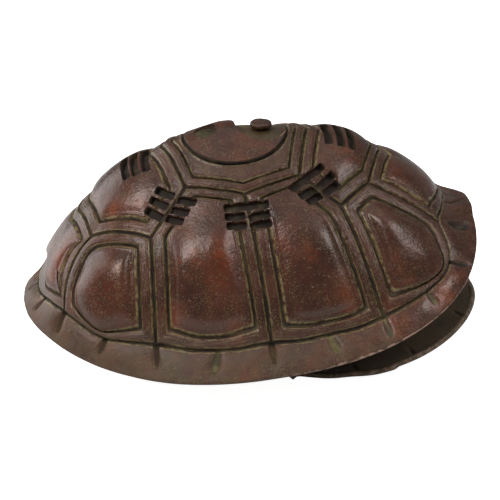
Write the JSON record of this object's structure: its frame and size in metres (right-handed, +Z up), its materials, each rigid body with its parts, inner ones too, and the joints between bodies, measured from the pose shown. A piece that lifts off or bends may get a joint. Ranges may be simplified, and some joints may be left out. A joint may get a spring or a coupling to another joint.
{
  "type": "cast bronze turtle shell",
  "caption": "Hollow cast-bronze turtle shell: domed carapace with scutes, disc and bar ornament over a flat plastron, open at head and tail to hold and shake coins.",
  "frame": {"origin": "on the surface the shell stands on, under the middle of its bounding box", "axes": "+X towards the head end, +Y towards the shell's left side, +Z up through the dome"},
  "size_m": [0.1342, 0.0986, 0.0652],
  "materials": {
    "patinated_bronze": "dark brown-red bronze patina, semi-gloss on the raised plates, olive and green verdigris in the grooves",
    "dark_bronze": "dark brown bronze patina with a little green, duller than the dome"
  },
  "bodies": {
    "root": {"carapace": "patinated_bronze", "plastron": "dark_bronze"}
  },
  "joints": []
}
